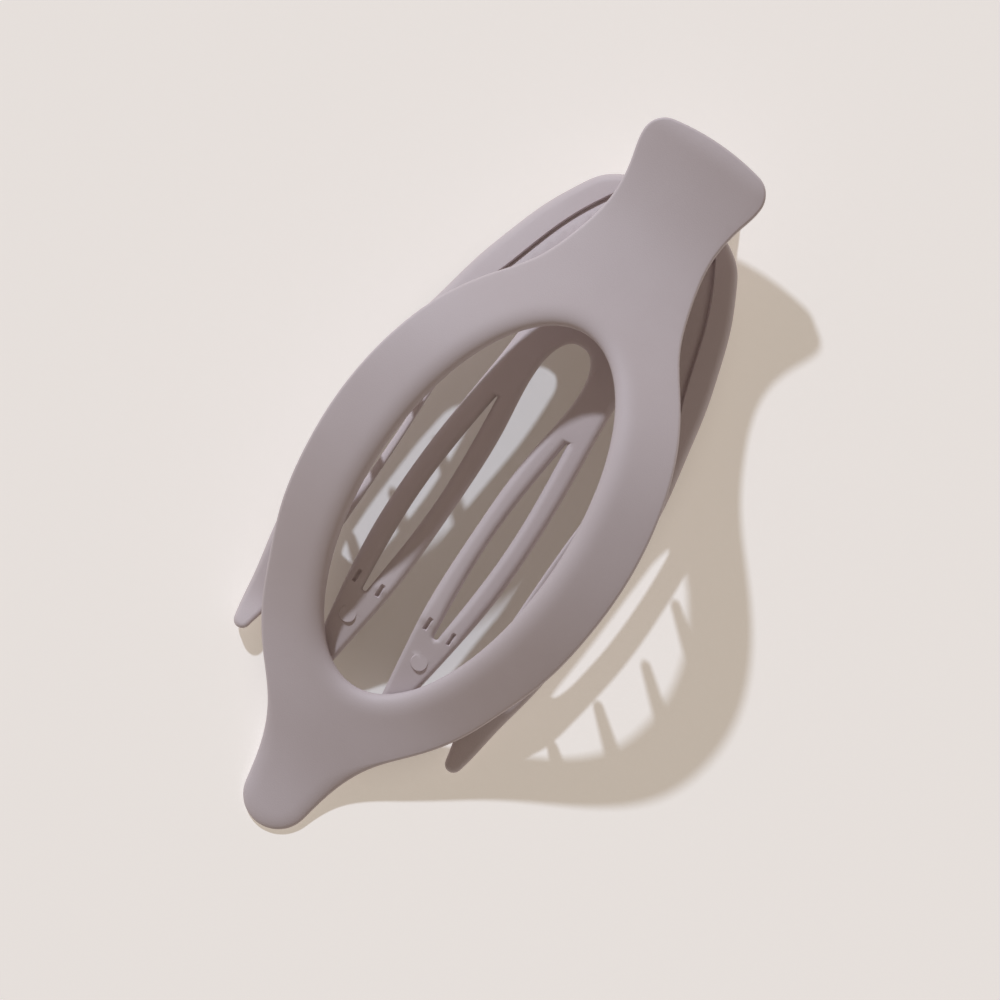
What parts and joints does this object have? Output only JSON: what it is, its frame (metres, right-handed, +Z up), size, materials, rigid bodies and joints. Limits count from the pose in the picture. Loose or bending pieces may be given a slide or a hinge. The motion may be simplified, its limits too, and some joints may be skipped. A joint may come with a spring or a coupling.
{
  "type": "flat hair claw clip",
  "caption": "Flat hair claw clip: an arched upper jaw with an oval window, teeth and thumb tab, sprung on a pin over a slotted lower jaw with arms and prongs.",
  "frame": {"origin": "on the surface the clip lies on, under the middle of its length and width", "axes": "+X along the clip from the beak to the thumb tab, +Y across it, +Z up from the surface"},
  "size_m": [0.12, 0.0504, 0.0282],
  "materials": {
    "soft_touch_plastic": "matte soft-touch, mauve grey",
    "spring_steel": "bright drawn wire"
  },
  "bodies": {
    "lower": {"lower_jaw": "soft_touch_plastic", "hinge_pin": "spring_steel", "hinge_spring": "spring_steel"},
    "upper": {"upper_jaw": "soft_touch_plastic"}
  },
  "joints": [
    {"name": "jaw_hinge", "type": "hinge", "parent": "lower", "child": "upper", "pos_m": [0.039, 0, 0.01287], "axis": [0, 1, 0], "range_deg": [0, 30], "stiffness_Nm_per_rad": 0.2, "springref_deg": -2.86, "deforming": ["hinge_spring"]}
  ]
}
